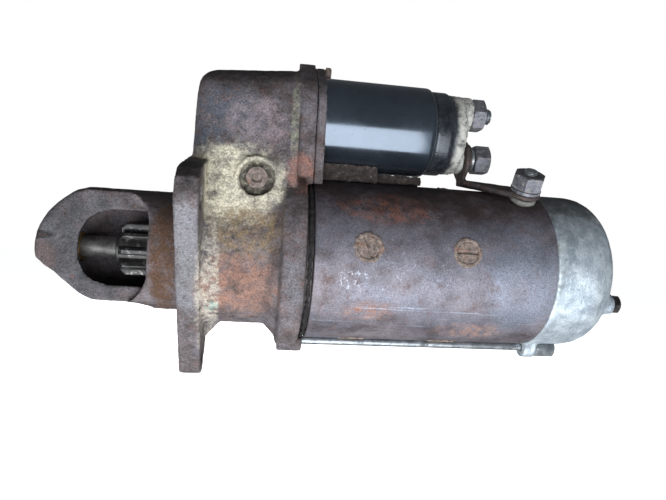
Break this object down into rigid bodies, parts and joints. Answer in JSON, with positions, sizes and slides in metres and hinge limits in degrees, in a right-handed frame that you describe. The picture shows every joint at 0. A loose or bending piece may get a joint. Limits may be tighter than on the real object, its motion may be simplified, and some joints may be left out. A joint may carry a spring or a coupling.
{
  "type": "starter motor",
  "caption": "Electric starter motor with a side solenoid, a shift lever and a sliding pinion in an open nose housing",
  "frame": {"origin": "centre of the mounting flange's front face, on the shaft line", "axes": "+X from the pinion nose to the end cover, +Y away from the pinion window's open side, +Z from the shaft to the solenoid"},
  "size_m": [0.406, 0.1541, 0.2302],
  "materials": {
    "housing_iron": "rusty and dirty cast surface",
    "bronze": "oiled sintered bronze",
    "machined_steel": "machined, oily",
    "yoke_paint": "worn dark paint with rust",
    "pole_iron": "bare soft iron",
    "field_lacquer": "varnished tape",
    "dirty_screw": "dirty and rusted steel",
    "cover_aluminium": "cast, smudged",
    "carbon": "pressed carbon and copper",
    "plated_steel": "zinc plated",
    "bakelite": "moulded, dusty",
    "copper": "tarnished copper",
    "case_paint": "glossy black paint",
    "seal_rubber": "dirty rubber"
  },
  "bodies": {
    "frame": {"drive_housing": "housing_iron", "nose_bush": "bronze", "center_bush": "bronze", "rear_bush": "bronze", "center_bearing_plate": "machined_steel", "brush_plate": "machined_steel", "solenoid_core": "machined_steel", "lever_pivot_pin": "machined_steel", "cover_bolt_1": "machined_steel", "cover_bolt_2": "machined_steel", "yoke": "yoke_paint", "pole_shoe_1": "pole_iron", "pole_shoe_2": "pole_iron", "pole_shoe_3": "pole_iron", "pole_shoe_4": "pole_iron", "field_coil_1": "field_lacquer", "field_coil_2": "field_lacquer", "field_coil_3": "field_lacquer", "field_coil_4": "field_lacquer", "pole_screw_1": "dirty_screw", "pole_screw_2": "dirty_screw", "pole_screw_3": "dirty_screw", "pole_screw_4": "dirty_screw", "pole_screw_5": "dirty_screw", "pole_screw_6": "dirty_screw", "pole_screw_7": "dirty_screw", "pole_screw_8": "dirty_screw", "battery_nut": "dirty_screw", "motor_nut": "dirty_screw", "field_terminal_nut": "dirty_screw", "solenoid_screw_1": "dirty_screw", "solenoid_screw_2": "dirty_screw", "end_cover": "cover_aluminium", "through_bolt_1": "plated_steel", "through_bolt_2": "plated_steel", "field_terminal_stud": "plated_steel", "battery_stud": "plated_steel", "motor_stud": "plated_steel", "motor_spring_washer": "plated_steel", "plunger_spring": "plated_steel", "field_terminal_insulator": "bakelite", "solenoid_cap": "bakelite", "link_strap": "copper", "motor_washer": "copper", "solenoid_coil": "copper", "solenoid_case": "case_paint", "lever_seal": "seal_rubber"},
    "armature": {"armature_shaft": "machined_steel", "armature_core": "pole_iron", "armature_winding": "copper", "commutator": "copper"},
    "drive": {"clutch_barrel": "machined_steel"},
    "pinion": {"pinion": "machined_steel"},
    "lever": {"shift_lever": "machined_steel"},
    "plunger": {"plunger": "machined_steel"},
    "contact": {"contact_disc": "copper"},
    "brush_1": {"brush_1": "carbon"},
    "brush_2": {"brush_2": "carbon"},
    "brush_3": {"brush_3": "carbon"},
    "brush_4": {"brush_4": "carbon"}
  },
  "joints": [
    {"name": "armature_spin", "type": "hinge", "parent": "frame", "child": "armature", "pos_m": [0, 0, 0], "axis": [1, 0, 0], "continuous": true},
    {"name": "plunger_slide", "type": "slide", "parent": "frame", "child": "plunger", "axis": [1, 0, 0], "range_m": [0, 0.0163], "stiffness_N_per_m": 1500, "springref_m": -0.012, "deforming": ["plunger_spring"]},
    {"name": "drive_slide", "type": "slide", "parent": "armature", "child": "drive", "axis": [-1, 0, 0], "range_m": [0, 0.01705]},
    {"name": "pinion_overrun", "type": "hinge", "parent": "drive", "child": "pinion", "pos_m": [0, 0, 0], "axis": [1, 0, 0], "continuous": true},
    {"name": "lever_swing", "type": "hinge", "parent": "frame", "child": "lever", "pos_m": [0.0467, 0, 0.0505], "axis": [0, 1, 0], "range_deg": [0, 19.5]},
    {"name": "contact_slide", "type": "slide", "parent": "frame", "child": "contact", "axis": [1, 0, 0], "range_m": [0, 0.0055]},
    {"name": "brush_1_slide", "type": "slide", "parent": "frame", "child": "brush_1", "axis": [0, 0, 1], "range_m": [0, 0.0028], "stiffness_N_per_m": 1000, "springref_m": -0.01},
    {"name": "brush_2_slide", "type": "slide", "parent": "frame", "child": "brush_2", "axis": [0, -1, 0], "range_m": [0, 0.0028], "stiffness_N_per_m": 1000, "springref_m": -0.01},
    {"name": "brush_3_slide", "type": "slide", "parent": "frame", "child": "brush_3", "axis": [0, 0, -1], "range_m": [0, 0.0028], "stiffness_N_per_m": 1000, "springref_m": -0.01},
    {"name": "brush_4_slide", "type": "slide", "parent": "frame", "child": "brush_4", "axis": [0, 1, 0], "range_m": [0, 0.0028], "stiffness_N_per_m": 1000, "springref_m": -0.01}
  ],
  "couplings": [
    {"joint": "drive_slide", "follows": "plunger_slide", "ratio": 1.037},
    {"joint": "lever_swing", "follows": "plunger_slide", "rad_per_m": 20.558},
    {"joint": "contact_slide", "follows": "plunger_slide", "ratio": 0.333}
  ]
}
